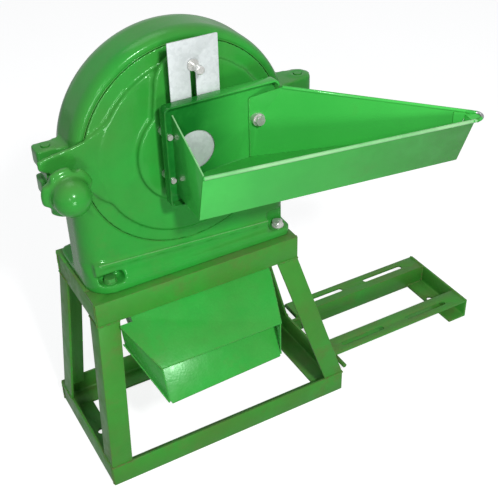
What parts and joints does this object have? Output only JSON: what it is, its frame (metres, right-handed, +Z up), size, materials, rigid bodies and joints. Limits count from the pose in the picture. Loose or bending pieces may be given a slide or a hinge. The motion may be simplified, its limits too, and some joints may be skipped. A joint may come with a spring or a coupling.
{
  "type": "disc mill",
  "caption": "Angle-iron stand carrying a round cast mill with a hinged feed door, side feed tray, slide gate, discharge chute, belt pulley and folding slotted motor rails.",
  "frame": {"origin": "on the floor, midway between the two anchor holes of the stand and the motor rails", "axes": "+X from the mill towards the end of the motor rails, +Y from the feed door towards the belt pulley, +Z up"},
  "size_m": [0.807, 0.4751, 0.722],
  "materials": {
    "frame_paint": "satin green enamel over rolled steel",
    "sheet_paint": "gloss green enamel over sheet steel",
    "casting_paint": "gloss green enamel over cast iron",
    "zinc": "zinc plated",
    "steel": "turned bare steel",
    "gasket": "matt"
  },
  "bodies": {
    "mill": {"base_front_bar": "frame_paint", "base_back_bar": "frame_paint", "base_left_bar": "frame_paint", "base_right_bar": "frame_paint", "leg_front_left": "frame_paint", "leg_front_right": "frame_paint", "leg_back_left": "frame_paint", "leg_back_right": "frame_paint", "top_front_bar": "frame_paint", "top_back_bar": "frame_paint", "top_left_bar": "frame_paint", "top_right_bar": "frame_paint", "rail_hinge_ears": "frame_paint", "rail_hinge_rod": "frame_paint", "chute_top_panel": "sheet_paint", "chute_left_side": "sheet_paint", "chute_right_side": "sheet_paint", "chute_bottom_panel": "sheet_paint", "mill_body": "casting_paint", "foot_bolts": "zinc", "foot_nuts": "zinc", "bearing_housing": "casting_paint", "housing_bolts": "zinc", "bearing_outer_rings": "steel", "bearing_balls": "zinc", "bearing_cap": "casting_paint", "cap_bolts": "zinc", "ring_sieve": "zinc", "ear_pins": "steel", "clamp_block": "steel"},
    "motor_rails": {"motor_rail_front": "frame_paint", "motor_rail_back": "frame_paint", "rail_end_bar": "frame_paint"},
    "rotor": {"main_shaft": "steel", "bearing_inner_rings": "steel", "bearing_sleeve": "steel", "rotor_disc": "steel", "rotor_claws": "zinc", "rotor_nut": "zinc", "shaft_key": "steel", "belt_pulley": "casting_paint", "pulley_nut": "zinc"},
    "door": {"mill_door": "casting_paint", "door_gasket": "gasket", "door_claws": "zinc", "hopper_spacers": "zinc", "gate_guide": "sheet_paint", "hopper_plate": "sheet_paint", "hopper_left_wall": "sheet_paint", "hopper_front_wall": "sheet_paint", "hopper_back_wall": "sheet_paint", "hopper_end_wall": "sheet_paint", "hopper_floor": "sheet_paint", "hopper_screws": "zinc", "hopper_stay_bolt": "zinc"},
    "gate": {"feed_gate": "zinc"},
    "gate_screw_body": {"gate_screw": "zinc"},
    "clamp_travel_body": {"clamp_collar": "zinc"},
    "clamp_knob_body": {"clamp_stud": "steel", "clamp_knob": "casting_paint"}
  },
  "joints": [
    {"name": "spindle_spin", "type": "hinge", "parent": "mill", "child": "rotor", "pos_m": [-0.196, 0.028, 0.553], "axis": [0, 1, 0], "continuous": true},
    {"name": "door_swing", "type": "hinge", "parent": "mill", "child": "door", "pos_m": [0.012, -0.036, 0.5555], "axis": [0, 0, 1], "range_deg": [0, 105]},
    {"name": "gate_slide", "type": "slide", "parent": "door", "child": "gate", "axis": [0, 0, 1], "range_m": [0, 0.064]},
    {"name": "gate_screw_turn", "type": "hinge", "parent": "door", "child": "gate_screw_body", "pos_m": [-0.196, -0.112, 0.687], "axis": [0, -1, 0], "range_deg": [0, 720]},
    {"name": "clamp_screw_travel", "type": "slide", "parent": "door", "child": "clamp_travel_body", "axis": [0, -1, 0], "range_m": [0, 0.028]},
    {"name": "clamp_screw_turn", "type": "hinge", "parent": "clamp_travel_body", "child": "clamp_knob_body", "pos_m": [-0.384, -0.102, 0.5555], "axis": [0, -1, 0], "range_deg": [0, 2520]},
    {"name": "rail_fold", "type": "hinge", "parent": "mill", "child": "motor_rails", "pos_m": [0.085, 0.011, 0.02], "axis": [0, -1, 0], "range_deg": [0, 90]}
  ],
  "couplings": [
    {"joint": "clamp_screw_turn", "follows": "clamp_screw_travel", "rad_per_m": 1570.8}
  ]
}
